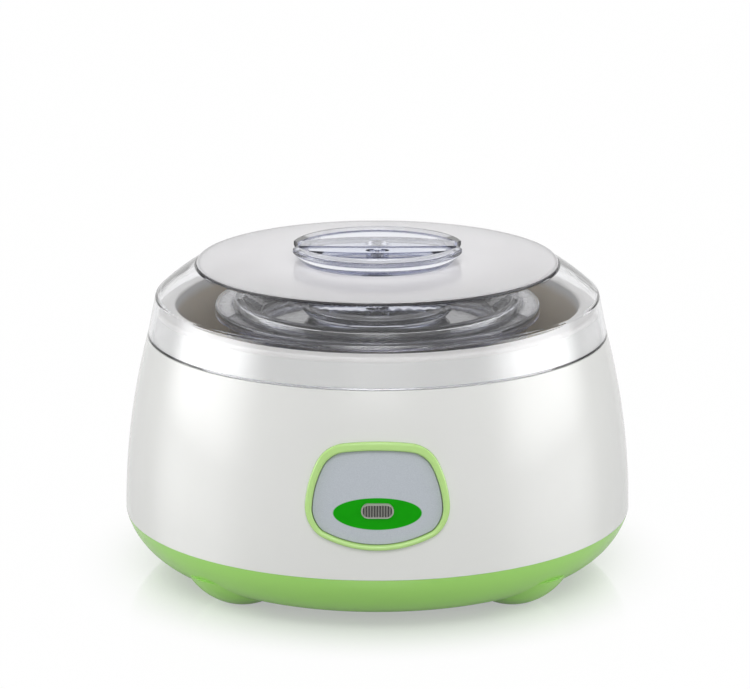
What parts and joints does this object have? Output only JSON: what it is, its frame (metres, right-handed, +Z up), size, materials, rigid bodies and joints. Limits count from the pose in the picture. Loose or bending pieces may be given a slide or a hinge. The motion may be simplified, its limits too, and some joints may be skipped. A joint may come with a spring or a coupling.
{
  "type": "yogurt maker",
  "caption": "Round tabletop yogurt maker: warming housing with a front indicator panel, a steel pot with a clear lid inside, and a clear domed outer lid with a round knob.",
  "frame": {"origin": "on the table under the centre of the housing, level with the undersides of the foot pads", "axes": "+Z up along the housing's axis, control panel facing -Y, +X to the right seen from the front"},
  "size_m": [0.2052, 0.2061, 0.1327],
  "materials": {
    "white_plastic": "gloss",
    "green_plastic": "gloss",
    "liner_plastic": "satin",
    "silver_plastic": "metallic satin",
    "lens_plastic": "ribbed clear",
    "clear_plastic": "clear gloss",
    "inner_plastic": "matte",
    "lamp_glass": "clear",
    "wire_insulation": "satin",
    "heater_rubber": "matte",
    "gland_rubber": "matte",
    "foot_rubber": "matte",
    "plate_aluminium": "satin",
    "spring_steel": "satin",
    "screw_steel": "zinc plated",
    "fuse_metal": "satin",
    "terminal_brass": "satin",
    "pot_steel": "bright"
  },
  "bodies": {
    "unit": {"housing_shell": "white_plastic", "base_cover": "green_plastic", "inner_liner": "liner_plastic", "heater_plate": "plate_aluminium", "heater_pad": "heater_rubber", "heater_clamp": "spring_steel", "clamp_screws": "screw_steel", "base_screws": "screw_steel", "thermal_fuse": "fuse_metal", "fuse_clip": "spring_steel", "terminal_block": "inner_plastic", "terminal_screws": "terminal_brass", "heater_leads": "wire_insulation", "lamp_leads": "wire_insulation", "panel_bezel": "green_plastic", "panel_plate": "silver_plastic", "indicator_lens": "lens_plastic", "lamp_holder": "inner_plastic", "indicator_lamp": "lamp_glass", "cord_gland": "gland_rubber", "foot_pads": "foot_rubber"},
    "pot": {"pot": "pot_steel"},
    "pot_cover": {"pot_lid": "clear_plastic", "pot_lid_knob": "clear_plastic", "pot_lid_knob_screw": "screw_steel"},
    "outer_cover": {"outer_lid": "clear_plastic", "lid_knob": "clear_plastic", "lid_knob_screw": "screw_steel"}
  },
  "joints": [
    {"name": "pot_lift", "type": "slide", "parent": "unit", "child": "pot", "axis": [0, 0, 1], "range_m": [0, 0.1]},
    {"name": "pot_lid_lift", "type": "slide", "parent": "pot", "child": "pot_cover", "axis": [0, 0, 1], "range_m": [0, 0.06]},
    {"name": "outer_lid_lift", "type": "slide", "parent": "pot_cover", "child": "outer_cover", "axis": [0, 0, 1], "range_m": [0, 0.08]}
  ]
}
